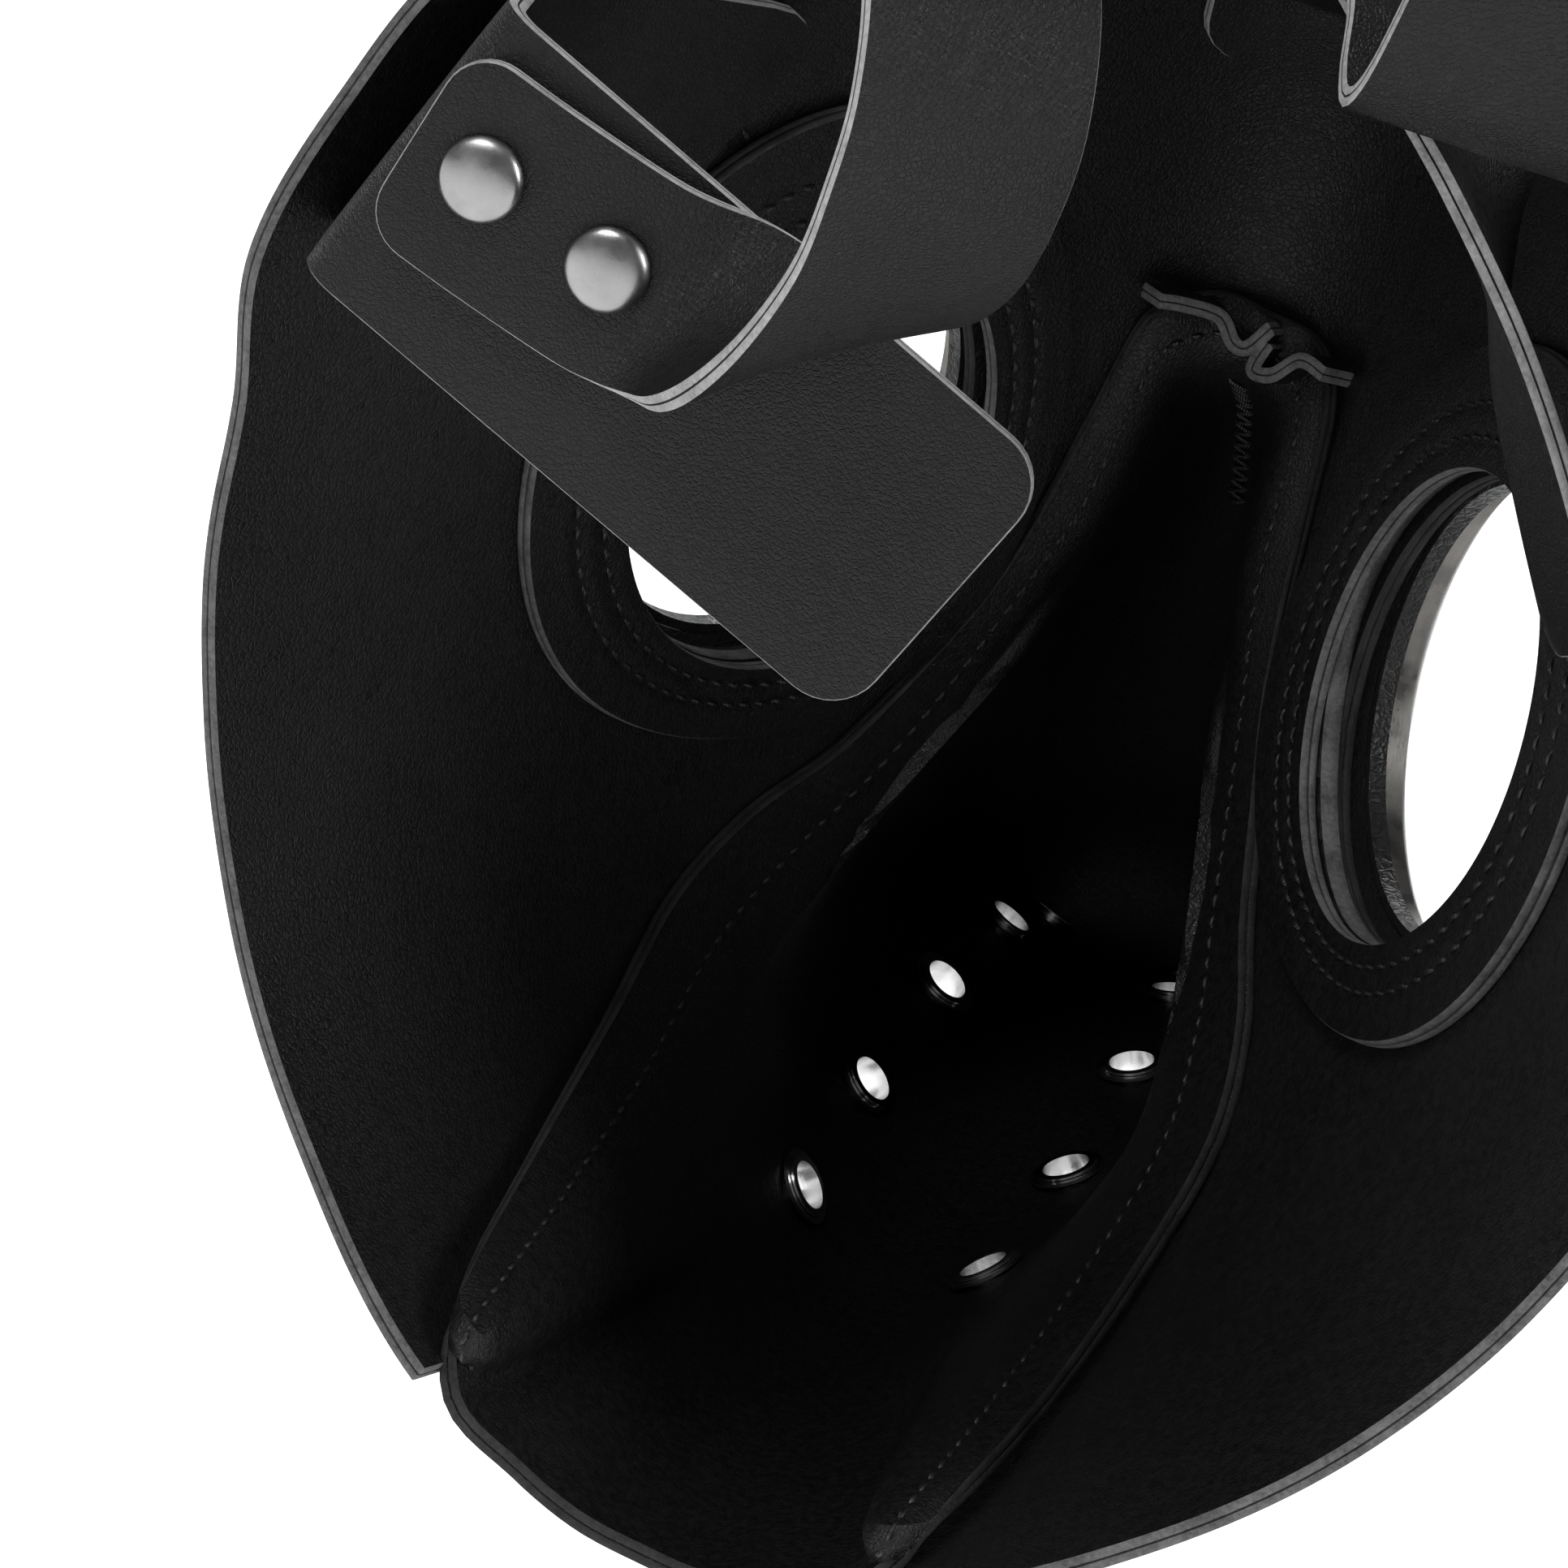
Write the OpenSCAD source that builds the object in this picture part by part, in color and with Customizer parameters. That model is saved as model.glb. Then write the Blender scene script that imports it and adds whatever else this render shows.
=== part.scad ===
// Plague doctor mask: bonded leather face panel and beak, sewn goggles, vent
// eyelets and riveted head straps. Origin between the wearer's eyes, +Y along
// the beak, +X to the wearer's right, +Z up, millimetres.

/* [Leather] */
// Thickness of the two-ply leather sheet
leather_t = 2.4; // [1.6:0.1:3.2]
// Gap left between layers that are sewn or riveted together
layer_gap = 0.15; // [0.1:0.05:0.4]

/* [Face] */
// How far forward of the eyes the nose bridge stands
bridge_y = 44; // [38:1:50]
// Slope that the cheeks reach, seen from above
cheek_slope = 2.3; // [2:0.1:2.6]
// Roundness of the nose ridge, seen from above
ridge_r = 37; // [30:1:44]
// Height of the forehead edge above the eyes
forehead_z = 88; // [80:1:100]
// Depth of the chin below the eyes
chin_z = 100; // [96:1:106]

/* [Goggles] */
// Distance from the middle of the face to the centre of an eye hole
eye_x = 42.3; // [40:0.5:45]
// Diameter of the eye hole
eye_d = 60; // [54:1:62]
// Length of the goggle tube in front of its sewn flange
tube_len = 7; // [6.5:0.5:12]
// Diameter of the outer sewn flange
flange_d = 92; // [84:1:94]

/* [Beak] */
// Distance between neighbouring vent eyelets
eyelet_pitch = 34; // [28:1:35]
// Bore of a vent eyelet
eyelet_d = 7; // [5:0.5:8]
// Number of eyelets on each side
eyelet_count = 6; // [4:1:6]

/* [Straps] */
// Width of the wide anchor straps
anchor_w = 35; // [28:1:38]
// Width of the narrow head straps
strap_w = 22.5; // [18:0.5:24]
// Diameter of a rivet cap
rivet_d = 9; // [8:0.5:11]

/* [Hidden] */

$fn = 48;
arc_steps = 4;          // spline steps between two outline points
panel_rows = 11;        // mesh rows from the nose opening to the rim
lean = 0.133;           // how far the face leans back for each mm of height
brow_curve = 0.006;     // extra lean of the forehead
brow_z = 30;            // height at which the forehead starts to curve
jaw_z = -5;             // height below which the cheeks draw in
jaw_power = 0.6;        // how squarely they draw in
seam_ply = leather_t + layer_gap;

// ---------- small helpers ----------

function unit(v) = v / norm(v);
function lerp(a, b, t) = a + (b - a) * t;
function mirrored(p, side) = [side * p[0], p[1], p[2]];

// Smooth curve through p, with n steps in each interval
function bend(a, b, c, d, t) =
    0.5 * (2 * b + (c - a) * t + (2 * a - 5 * b + 4 * c - d) * t * t
    + (3 * b - a - 3 * c + d) * t * t * t);
function spline(p, n) = [
    for (i = [0:len(p) - 2]) for (j = [0:n - 1])
        bend(p[max(i - 1, 0)], p[i], p[i + 1], p[min(i + 2, len(p) - 1)], j / n),
    p[len(p) - 1]
];
// The same for a list of rows, going down the rows
function column(g, j) = [for (row = g) row[j]];
function transposed(g) = [for (j = [0:len(g[0]) - 1]) column(g, j)];
function spline_rows(g, n) = transposed([for (c = transposed(g)) spline(c, n)]);

// Mean of a list of points
function middle(p) = [for (x = p) 1] * p / len(p);

// Unit normal of a grid of points at row i, column j
function wrapped(j, n) = (j + n) % n;
function grid_normal(g, i, j, wrap) =
    let (rows = len(g), cols = len(g[0]),
         ja = wrap ? wrapped(j - 1, cols) : max(j - 1, 0),
         jb = wrap ? wrapped(j + 1, cols) : min(j + 1, cols - 1))
    unit(cross(g[i][jb] - g[i][ja],
               g[min(i + 1, rows - 1)][j] - g[max(i - 1, 0)][j]));
function grid_offset(g, d, wrap) = [
    for (i = [0:len(g) - 1]) for (j = [0:len(g[0]) - 1])
        g[i][j] + d * grid_normal(g, i, j, wrap)
];

// A leather sheet that follows a grid of points, from d0 to d1 along its
// normal. wrap joins the last column to the first, cap closes the last row.
module sheet(g, d0, d1, wrap = false, cap = false) {
    rows = len(g);
    cols = len(g[0]);
    n = rows * cols;
    last = wrap ? cols - 1 : cols - 2;
    far = grid_offset(g, min(d0, d1), wrap);
    near = grid_offset(g, max(d0, d1), wrap);
    mid_far = middle([for (j = [0:cols - 1]) far[n - cols + j]]);
    mid_near = middle([for (j = [0:cols - 1]) near[n - cols + j]]);
    faces = [
        for (i = [0:rows - 2]) for (j = [0:last])
            let (a = i * cols + j, b = i * cols + (j + 1) % cols, c = b + cols, d = a + cols)
            each [[a, b, c], [a, c, d], [n + a, n + c, n + b], [n + a, n + d, n + c]],
        for (j = [0:last])
            let (a = j, b = (j + 1) % cols)
            each [[a, n + b, b], [a, n + a, n + b]],
        for (j = [0:last])
            let (a = n - cols + j, b = n - cols + (j + 1) % cols)
            each cap ? [[a, b, 2 * n], [n + a, 2 * n + 1, n + b]]
                     : [[a, b, n + b], [a, n + b, n + a]],
        if (!wrap) for (i = [0:rows - 2])
            let (a = i * cols, b = a + cols, c = a + cols - 1, d = c + cols)
            each [[a, b, n + b], [a, n + b, n + a], [c, n + d, d], [c, n + c, n + d]]
    ];
    points = cap ? concat(far, near, [mid_far, mid_near]) : concat(far, near);
    polyhedron(points = points, faces = faces, convexity = 10);
}

// A ribbon along centre points c with unit width directions w
function ribbon_grid(c, w, width, across) = [
    for (i = [0:len(c) - 1]) [for (k = [0:across]) c[i] + unit(w[i]) * width * (k / across - 0.5)]
];
module ribbon(c, w, width, t, steps = 5) {
    sheet(ribbon_grid(spline(c, steps), spline(w, steps), width, 2), -t / 2, t / 2);
}

// ---------- face surface ----------

// Share of its full width that the face keeps at height z
function jaw(z) =
    let (q = max(0, (jaw_z - z) / (chin_z + jaw_z)))
    pow(1 - min(q, 0.98) * min(q, 0.98), jaw_power);
// Point of the face surface at spread s, the distance from the middle before
// the jaw draws in, and height z
function face(s, z) = [
    s * jaw(z),
    bridge_y - cheek_slope * (sqrt(s * s + ridge_r * ridge_r) - ridge_r)
        - lean * z - brow_curve * pow(max(0, z - brow_z), 2),
    z
];

// Spread and height of the outer rim, from the forehead to the chin
rim = [
    [0, forehead_z], [22, forehead_z], [44, forehead_z - 4], [63, 73], [76, 56],
    [82, 38], [85, 20], [84, 2], [84, -16], [84, -36], [85, -56], [88, -78], [92.5, -92.8]
];
// The panel's own edge round the nose, where the beak shows through
nose_edge = [
    [0, 23], [5, 22], [9.5, 18], [11, 8], [12.5, -4], [17, -18], [22, -33],
    [28, -46], [36, -58], [46, -70], [59, -83], [74, -90], [87.5, -93.5]
];
// The beak's raw edge, lapped inside the cheeks
lap_edge = [
    [0, 31], [8, 30], [14, 25], [16.5, 10], [18.5, -4], [21.5, -17], [26.5, -29],
    [34, -42], [43, -51], [51, -61], [60, -73], [74, -84], [87.5, -90.5]
];

function both_sides(p) = [
    for (i = [len(p) - 1:-1:1]) [-p[i][0], p[i][1]],
    for (q = p) q
];
function panel_grid() =
    let (outer = spline(both_sides(rim), arc_steps), inner = spline(both_sides(nose_edge), arc_steps))
    [for (r = [0:panel_rows]) [for (j = [0:len(outer) - 1])
        let (p = lerp(inner[j], outer[j], r / panel_rows)) face(p[0], p[1])]];

// ---------- goggles ----------

eye = face(eye_x, 0);
eye_turn = atan(cheek_slope * eye_x / sqrt(eye_x * eye_x + ridge_r * ridge_r));
eye_tip = atan(lean * cos(eye_turn));
tube_wall = 3;
lens_step = 3;          // how much wider the tube is round the lens
lens_seat = 2.5;        // height of the step that the lens sits on
lens_t = 2;
fit_gap = 0.15;         // gap between hard goggle parts

// Puts a child, drawn along +Z, at the eye and along the goggle's axis
module at_eye(side, forward = 0) {
    mirror([side < 0 ? 1 : 0, 0, 0])
        translate(eye)
            rotate([0, 0, -eye_turn])
                rotate([eye_tip - 90, 0, 0])
                    translate([0, 0, forward])
                        children();
}
module tube(outer, inner, length) {
    difference() {
        cylinder(h = length, r = outer);
        translate([0, 0, -1]) cylinder(h = length + 2, r = inner);
    }
}

// A leather ring sewn round an eye, bent to the face between spreads
ring_in = eye_d / 2;
ring_squash = cos(eye_turn);
facing_out_x = 22.5;
facing_up = 47;         // reach of the facing above the eye's centre
facing_down = 40;       // and below it
ring_steps = 40;
function ring_grid(out_x, up, down, side) = [
    for (r = [0:3]) [for (k = [0:ring_steps - 1])
        let (a = 360 * k / ring_steps, f = r / 3,
             rx = lerp(ring_in * ring_squash + 0.4, out_x, f),
             rz = lerp(ring_in + 0.4, lerp(down, up, (sin(a) + 1) / 2), f),
             z = rz * sin(a), x = eye_x + rx * cos(a))
        mirrored(face(x / jaw(z), z), side)]
];
module face_ring(side, out_x, up, down, d0, d1) {
    sheet(ring_grid(out_x, up, down, side), side * d0, side * d1, wrap = true);
}

// ---------- beak ----------

// Middle lines of the beak's roof and floor, in the YZ plane, with the half
// width and the narrowing of the upper half at each station
beak_roof = [[60, 13], [90, -8], [124, -34], [156, -62], [187, -95], [214, -134], [236, -172]];
beak_floor = [[-2, -115], [38, -111], [78, -103], [115, -98], [152, -106], [190, -132], [226, -176]];
beak_half = [30, 34, 34, 31, 26, 18, 7];
beak_pinch = [0.5, 0.34, 0.22, 0.13, 0.07, 0.03, 0];
// Angle of each outline point round the beak, from the roof to the floor
beak_angle = [0, 8, 17, 29, 41, 53, 66, 80, 94, 108, 121, 133, 142, 150, 160, 170, 180];
vent_column = 13;       // the outline point that the vent eyelets follow
throat = [[25.5, -85.5, -96], [16, -83.5, -102], [8, -81, -106], [0, -80, -107]];

function station(k, a) =
    let (roof = beak_roof[k], floor_p = beak_floor[k], mid = (roof + floor_p) / 2,
         half = (roof - floor_p) / 2,
         pinch = 1 - beak_pinch[k] * min(1, max(0, (cos(a) + 0.3) / 0.75)))
    [beak_half[k] * sin(a) * pinch, mid[0] + half[0] * cos(a), mid[1] + half[1] * cos(a)];

// Middle of a second ply on the inside of the face panel
function sunk(p, extra = 0) =
    let (e = 0.5, n = unit(cross(face(p[0] + e, p[1]) - face(p[0] - e, p[1]),
                                 face(p[0], p[1] + e) - face(p[0], p[1] - e))))
    face(p[0], p[1]) + n * (layer_gap + leather_t / 2 + extra);
// The beak's first two rows, with the chin corners kept further off the panel
lap_row = [for (i = [0:12]) sunk(lap_edge[i], max(0, i - 9) * 0.9)];
neck_row = [
    for (i = [0:12]) sunk(lerp(lap_edge[i], nose_edge[i], 1.12), max(0, i - 9) * 0.7)
];
free_row = [
    for (i = [0:3]) lerp(throat[i], station(0, beak_angle[vent_column + i]), 0.25)
];

function around(half) = [
    for (i = [0:len(half) - 1]) half[i],
    for (i = [len(half) - 2:-1:1]) mirrored(half[i], -1)
];
beak_rows = concat(
    [around(concat(lap_row, throat)), around(concat(neck_row, free_row))],
    [for (k = [0:6]) around([for (a = beak_angle) station(k, a)])]
);
beak_steps = 3;
beak_mesh = spline_rows(beak_rows, beak_steps);

// Vent eyelets, numbered from the face, along one column of the beak's mesh
eyelet_flange = 11;
function eyelet_row(i) = (2.45 + i * eyelet_pitch / 38.5) * beak_steps;
function beak_at(row, c) =
    lerp(beak_mesh[floor(row)][c], beak_mesh[floor(row) + 1][c], row - floor(row));
function eyelet_spot(i) = beak_at(eyelet_row(i), vent_column);
function eyelet_axis(i) =
    let (row = eyelet_row(i), a = floor(row),
         along = beak_mesh[a + 1][vent_column] - beak_mesh[a][vent_column],
         round = beak_at(row, vent_column + 1) - beak_at(row, vent_column - 1))
    unit(cross(round, along));
// Puts a child at an eyelet with +Z pointing out of the beak
module at_eyelet(i, side) {
    p = eyelet_spot(i);
    n = eyelet_axis(i);
    mirror([side < 0 ? 1 : 0, 0, 0])
        translate(p)
            rotate([0, acos(n[2]), atan2(n[1], n[0])])
                children();
}

// ---------- leather parts of the mask ----------

module face_panel() {
    color("#1b1b1c")
        difference() {
            sheet(panel_grid(), 0, -leather_t);
            for (side = [-1, 1]) at_eye(side, -20) cylinder(h = 40, r = eye_d / 2);
        }
}

module beak_shell() {
    color("#19191a")
        difference() {
            sheet(beak_mesh, -leather_t / 2, leather_t / 2, wrap = true, cap = true);
            for (side = [-1, 1]) for (i = [0:eyelet_count - 1])
                at_eyelet(i, side)
                    translate([0, 0, -8]) cylinder(h = 16, r = eyelet_d / 2 + 0.6);
        }
}

module facing_ring(side) {
    color("#202021")
        face_ring(side, facing_out_x, facing_up, facing_down, -seam_ply, -layer_gap);
}

module goggle_flange(side) {
    r = flange_d / 2;
    color("#1d1d1e")
        face_ring(side, r * ring_squash, r, r, seam_ply, seam_ply + leather_t);
}

// ---------- goggle hardware ----------

bore_r = eye_d / 2;
tube_r = bore_r + lens_step + tube_wall;
lens_r = bore_r + lens_step;
tube_z = leather_t + seam_ply + 0.15;   // start of the tube, on the sewn flange

module goggle_tube(side) {
    color("#232324")
        at_eye(side, tube_z)
            difference() {
                cylinder(h = tube_len, r = tube_r);
                translate([0, 0, -1]) cylinder(h = tube_len, r = bore_r);
                translate([0, 0, lens_seat]) cylinder(h = tube_len, r = lens_r);
            }
}

module lens(side) {
    color("#c9d2d6", 0.35)
        at_eye(side, tube_z + lens_seat + 0.1) cylinder(h = lens_t, r = lens_r - fit_gap);
}

// Ring inside the tube that the lens rests against
module lens_retainer(side) {
    color("#303032") at_eye(side, tube_z + 0.1) tube(bore_r - fit_gap, bore_r - 1.4, lens_seat - 0.1);
}

// Metal ring pressed over the tube, its lip holding the lens from in front
module goggle_bezel(side) {
    lip = lens_seat + lens_t + 0.2;
    out = tube_r + 2;
    top = tube_len + 1.3;
    color("#8d8f92")
        at_eye(side, tube_z)
            rotate_extrude($fn = 96)
                polygon([
                    [bore_r + 1.5, lip], [lens_r - fit_gap, lip], [lens_r - fit_gap, tube_len + 0.1],
                    [tube_r + fit_gap, tube_len + 0.1], [tube_r + fit_gap, tube_len - 5],
                    [out, tube_len - 5], [out, top - 0.8], [out - 0.8, top],
                    [bore_r + 2.3, top], [bore_r + 1.5, top - 0.7]
                ]);
}

// ---------- vent eyelets ----------

barrel_wall = 0.4;
washer_z = -leather_t / 2 - 1.3;    // far face of the washer inside the beak

module eyelets(side) {
    bore = eyelet_d / 2;
    barrel = bore + barrel_wall;
    face_z = leather_t / 2 + 0.65;
    color("#b9bbbe")
        for (i = [0:eyelet_count - 1])
            at_eyelet(i, side)
                rotate_extrude($fn = 32)
                    polygon([
                        [bore, washer_z - 0.5], [bore + 1.1, washer_z - 0.5], [bore + 1.1, washer_z - 0.1],
                        [barrel, washer_z - 0.1], [barrel, face_z], [eyelet_flange / 2, face_z],
                        [eyelet_flange / 2 - 0.4, face_z + 0.5], [bore + 0.6, face_z + 0.8],
                        [bore, face_z + 0.4]
                    ]);
}

module eyelet_washers(side) {
    color("#aeb0b3")
        for (i = [0:eyelet_count - 1])
            at_eyelet(i, side)
                translate([0, 0, washer_z])
                    tube(eyelet_flange / 2, eyelet_d / 2 + barrel_wall + 0.15, 0.5);
}

// ---------- straps ----------

// A wide strap is in two bodies that meet at a fold: a tab sewn inside the
// face panel and a part that swings. Each fold has a frame: X along the
// swinging part, Z across its width, and the fold's centre line at the origin.
temple = [67.1, -91.6, 38.8];
temple_droop = 21;      // how far the left and right straps hang down
temple_yaw = 9;         // how far they lean in towards the face
fold_r = 2.5;           // inside radius of a fold
fold_gap = 1;           // start of the swinging part past the centre line
fold_angle = 96;        // angle between the tab and the left strap
open_right = 95;        // how far open the right strap is drawn
anchor_len = 69;
anchor_corner = 5;
fold_mid = fold_r + leather_t / 2;
crown = [2, -6, 84];
crown_heading = -70;    // the crown strap runs back and to the wearer's right

module at_temple(side) {
    mirror([side > 0 ? 1 : 0, 0, 0])
        translate([-temple[0], temple[1], temple[2]])
            rotate([0, temple_droop, temple_yaw])
                rotate([0, 0, side > 0 ? -open_right : 0])
                    children();
}
module at_crown() {
    translate(crown) rotate([90, 0, 0]) rotate([0, crown_heading, 0]) children();
}

// Two cap rivets through a wide strap and a narrow one
rivet_spots = [[5, 3.1], [20.5, 4.5]];
crown_rivets = [[13, 4.6], [28.5, 2.8]];
stack = 2 * leather_t + layer_gap;
module rivet() {
    rotate_extrude()
        polygon([
            [0, -1.2], [rivet_d / 2 - 1, -1.2], [rivet_d / 2 - 0.6, -0.8], [rivet_d / 2 - 0.6, -0.1],
            [2, -0.1], [2, stack + 0.1], [rivet_d / 2, stack + 0.1], [rivet_d / 2 - 0.15, stack + 0.8],
            [rivet_d / 2 - 1.2, stack + 1.4], [rivet_d / 2 - 2.8, stack + 1.75], [0, stack + 1.85]
        ]);
}
module rivet_holes(spots) {
    for (p = spots) translate([p[0], 0, p[1]]) rotate([90, 0, 0]) cylinder(h = 24, r = 2.2, center = true);
}

module anchor_strap_side(side) {
    l = anchor_len - fold_gap;
    color("#2b2b2c")
        at_temple(side)
            difference() {
                translate([fold_gap, -fold_r, 0])
                    rotate([90, 0, 0])
                        linear_extrude(height = leather_t)
                            union() {
                                translate([0, -anchor_w / 2]) square([l - anchor_corner, anchor_w]);
                                translate([l - anchor_corner - 0.1, anchor_corner - anchor_w / 2])
                                    square([anchor_corner + 0.1, anchor_w - 2 * anchor_corner]);
                                for (z = [-1, 1])
                                    translate([l - anchor_corner, z * (anchor_w / 2 - anchor_corner)])
                                        circle(anchor_corner);
                            }
                rivet_holes(rivet_spots);
            }
}

// Tab at a temple: two free rows at the fold, then rows on the panel
across = [-0.5, -0.25, 0, 0.25, 0.5];
function turned(p, a) = [p[0] * cos(a) - p[1] * sin(a), p[0] * sin(a) + p[1] * cos(a), p[2]];
function dropped(p, a) = [p[0] * cos(a) + p[2] * sin(a), p[1], p[2] * cos(a) - p[0] * sin(a)];
function temple_point(p) =
    [-temple[0], temple[1], temple[2]] + turned(dropped(p, temple_droop), temple_yaw);
function tab_free(q) = [for (k = across)
    temple_point([0, 0, k * anchor_w]
        + turned([0, 1, 0], fold_angle - 90) * q + turned([-1, 0, 0], fold_angle - 90) * fold_mid)];
function tab_sewn(s) = [for (k = across)
    let (dz = k * anchor_w * cos(temple_droop)) mirrored(sunk([s - 0.34 * dz, 40.8 + dz], 0.4), -1)];
tab_rows = [
    tab_free(0.3), tab_free(3), tab_free(7), tab_free(11),
    lerp(tab_free(14), tab_sewn(75), 0.25), lerp(tab_free(17), tab_sewn(73.5), 0.65),
    tab_sewn(72), tab_sewn(70), tab_sewn(67), tab_sewn(64), tab_sewn(61), tab_sewn(58.5)
];
module anchor_tab_side(side) {
    color("#262627")
        mirror([side > 0 ? 1 : 0, 0, 0]) sheet(tab_rows, -leather_t / 2, leather_t / 2);
}

// The narrow left strap leaves its rivets, swings up and curls over
strap_mid = -fold_r - leather_t * 1.5 - layer_gap;
left_path = [
    [-0.2, strap_mid, 2.3], [9, strap_mid, 3], [20, strap_mid, 4.3], [25, strap_mid - 0.2, 5.4],
    [30.5, -8.2, 7.6], [35.5, -13, 10], [40, -18.5, 14], [43, -25, 20.5], [43.5, -32, 29.5],
    [41.5, -38.5, 38.5], [38, -42.5, 47.5], [31.5, -44, 57], [21, -39.5, 66], [9, -31, 73]
];
left_width = [
    [-0.1, 0, 1], [-0.1, 0, 1], [-0.12, 0, 1], [-0.1, 0, 1],
    [0, 0.15, 0.98], [0.22, 0.28, 0.92], [0.46, 0.4, 0.78], [0.64, 0.46, 0.6], [0.73, 0.49, 0.46],
    [0.78, 0.48, 0.4], [0.78, 0.48, 0.4], [0.74, 0.52, 0.42], [0.68, 0.58, 0.44], [0.6, 0.62, 0.48]
];
right_path = [
    [0.5, strap_mid, 2.3], [9, strap_mid, 3], [20, strap_mid, 4.3], [27, strap_mid - 0.1, 5],
    [38, -8, 6], [54, -13, 6], [70, -20, 4], [86, -29, 0], [101, -40, -6]
];
right_width = [
    [-0.08, 0, 1], [-0.08, 0, 1], [-0.08, 0, 1], [-0.08, 0, 1],
    [-0.06, 0, 1], [-0.02, 0, 1], [0.05, 0.03, 1], [0.15, 0.08, 1], [0.25, 0.15, 1]
];
module head_strap(side) {
    color("#313132")
        at_temple(side)
            difference() {
                if (side < 0) ribbon(left_path, left_width, strap_w, leather_t);
                else ribbon(right_path, right_width, strap_w, leather_t);
                rivet_holes(rivet_spots);
            }
}

module rivets_side(side) {
    color("#8a8b8e")
        at_temple(side)
            for (p = rivet_spots)
                translate([p[0], -fold_r, p[1]]) rotate([90, 0, 0]) rivet();
}

// Crown strap: its tab is sewn inside the forehead, and it turns back up on
// itself behind the head
crown_turn = fold_mid;
crown_path = [
    [fold_gap, crown_turn, 0], [16, crown_turn, 0], [32, crown_turn, 0], [48, crown_turn + 0.5, -0.5],
    [58, 5, -1.2], [67, 4.5, -2], [74, 0.5, -3], [78, -4.5, -3.5], [81.6, -7, -4], [85.2, -4.5, -4.4],
    [87.6, 2, -4.7], [89.6, 13, -5], [91, 27, -5]
];
crown_under = fold_r - layer_gap - leather_t / 2;
under_path = [
    [9, crown_under, 5], [20, crown_under, 3.8], [31, crown_under, 2.6],
    [37, crown_under - 0.9, 1.6], [43, -2.5, -1.2], [48, -9, -6],
    [51, -18, -11], [54, -31, -19], [57, -44, -28], [61, -58, -37]
];
under_width = [
    [0.1, 0, 1], [0.1, 0, 1], [0.1, 0, 1], [0.12, 0, 1], [0.22, 0.05, 0.97],
    [0.4, 0.1, 0.8], [0.7, 0.2, 0.5], [0.9, 0.3, 0.2], [0.93, 0.34, 0.1], [0.93, 0.34, 0.1]
];
module anchor_strap_crown() {
    color("#2b2b2c")
        at_crown()
            difference() {
                ribbon(crown_path, [for (p = crown_path) [0, 0, 1]], anchor_w, leather_t, 4);
                rivet_holes(crown_rivets);
            }
}
module crown_strap() {
    color("#313132")
        at_crown()
            difference() {
                ribbon(under_path, under_width, strap_w, leather_t, 4);
                rivet_holes(crown_rivets);
            }
}
module rivets_crown() {
    color("#8a8b8e")
        at_crown()
            for (p = crown_rivets)
                translate([p[0], fold_r - layer_gap - leather_t, p[1]]) rotate([-90, 0, 0]) rivet();
}

function crown_row(z) = [for (k = across)
    crown + turned([-fold_mid, k * anchor_w, z], crown_heading)];
function forehead_row(z) = [for (k = across) sunk([k * anchor_w, z])];
module anchor_tab_crown() {
    rows = [
        crown_row(-0.3), crown_row(-2.5), lerp(crown_row(-5.5), forehead_row(77), 0.3),
        lerp(crown_row(-8), forehead_row(75), 0.7), forehead_row(73), forehead_row(70),
        forehead_row(66.5), forehead_row(63)
    ];
    color("#262627") sheet(rows, -leather_t / 2, leather_t / 2);
}

face_panel();
beak_shell();
facing_ring(-1);  // facing_ring_left
facing_ring(1);  // facing_ring_right
goggle_flange(-1);  // goggle_flange_left
goggle_flange(1);  // goggle_flange_right
goggle_tube(-1);  // goggle_tube_left
goggle_tube(1);  // goggle_tube_right
goggle_bezel(-1);  // goggle_bezel_left
goggle_bezel(1);  // goggle_bezel_right
lens(-1);  // lens_left
lens(1);  // lens_right
lens_retainer(-1);  // lens_retainer_left
lens_retainer(1);  // lens_retainer_right
eyelets(-1);  // eyelets_left
eyelets(1);  // eyelets_right
eyelet_washers(-1);  // eyelet_washers_left
eyelet_washers(1);  // eyelet_washers_right
anchor_tab_side(-1);  // anchor_tab_left
anchor_tab_side(1);  // anchor_tab_right
anchor_tab_crown();
anchor_strap_side(-1);  // anchor_strap_left
anchor_strap_side(1);  // anchor_strap_right
anchor_strap_crown();
head_strap(-1);  // head_strap_left
head_strap(1);  // head_strap_right
crown_strap();
rivets_side(-1);  // rivets_left
rivets_side(1);  // rivets_right
rivets_crown();
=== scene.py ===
"""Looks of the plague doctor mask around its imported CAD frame."""
import math

import bmesh
import bpy
import numpy as np
from mathutils import Matrix, Vector, kdtree


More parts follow.
